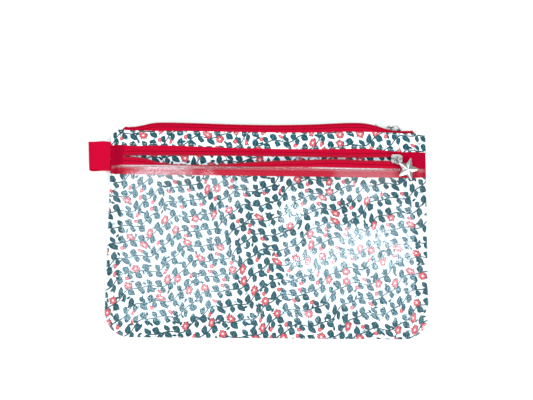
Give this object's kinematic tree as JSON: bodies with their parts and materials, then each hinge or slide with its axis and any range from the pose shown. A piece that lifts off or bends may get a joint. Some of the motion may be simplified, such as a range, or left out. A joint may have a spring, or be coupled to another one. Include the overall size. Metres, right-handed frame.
{
  "type": "zipped phone pouch",
  "caption": "Flat fabric pouch with a clear zipped front pocket, a zipped main pocket behind it, star charms as zip pulls and a webbing loop in the side seam.",
  "frame": {"origin": "centre of the flat back face, on the surface the pouch lies on", "axes": "+X along the zips towards the sliders' open end, +Y from the bottom seam towards the zips, +Z out of the clear front"},
  "size_m": [0.2945, 0.1869, 0.0234],
  "materials": {
    "print": "printed cotton, matte",
    "lining": "plain cotton, matte",
    "clear": "clear soft vinyl, glossy",
    "tape": "woven zip tape",
    "coil": "nylon coil, satin",
    "tab": "plain cotton, matte",
    "webbing": "woven webbing",
    "nickel": "polished nickel plate"
  },
  "bodies": {
    "pouch": {"back_panel": "print", "back_lining": "lining", "middle_panel": "print", "middle_lining": "lining", "top_strip": "print", "clear_front": "clear", "clear_front_hem": "clear", "left_tab": "tab", "right_tab": "tab", "side_loop": "webbing", "front_upper_tape": "tape", "front_lower_tape": "tape", "front_upper_coil": "coil", "front_lower_coil": "coil", "rear_front_tape": "tape", "rear_back_tape": "tape", "rear_front_coil": "coil", "rear_back_coil": "coil", "rear_top_stop_front": "coil", "rear_top_stop_back": "coil", "rear_bottom_stop": "coil"},
    "front_slider": {"front_slider": "nickel"},
    "front_ring": {"front_ring": "nickel"},
    "front_star": {"front_star": "nickel"},
    "rear_slider": {"rear_slider": "nickel"},
    "rear_ring": {"rear_ring": "nickel"},
    "rear_star": {"rear_star": "nickel"}
  },
  "joints": [
    {"name": "front_slide", "type": "slide", "parent": "pouch", "child": "front_slider", "axis": [-1, 0, 0], "range_m": [0, 0.229], "deforming": ["front_lower_tape", "front_lower_coil", "front_upper_tape", "front_upper_coil"]},
    {"name": "front_ring_swing", "type": "hinge", "parent": "front_slider", "child": "front_ring", "pos_m": [0.1097, 0.066, 0.02095], "axis": [-1, 0, 0], "range_deg": [0, 150]},
    {"name": "front_star_swivel", "type": "hinge", "parent": "front_ring", "child": "front_star", "pos_m": [0.1097, 0.0629, 0.01982], "axis": [0.1297, -0.0875, 0.9877], "range_deg": [-30, 30]},
    {"name": "rear_slide", "type": "slide", "parent": "pouch", "child": "rear_slider", "axis": [-1, 0, 0], "range_m": [0, 0.223], "deforming": ["rear_front_tape", "rear_back_tape", "rear_front_coil", "rear_back_coil"]},
    {"name": "rear_ring_swing", "type": "hinge", "parent": "rear_slider", "child": "rear_ring", "pos_m": [0.10709, 0.09514, 0.01095], "axis": [0, -1, 0], "range_deg": [0, 55]},
    {"name": "rear_star_swivel", "type": "hinge", "parent": "rear_ring", "child": "rear_star", "pos_m": [0.10544, 0.09514, 0.00809], "axis": [0.3039, 0.1899, -0.9336], "range_deg": [0, 30]}
  ]
}
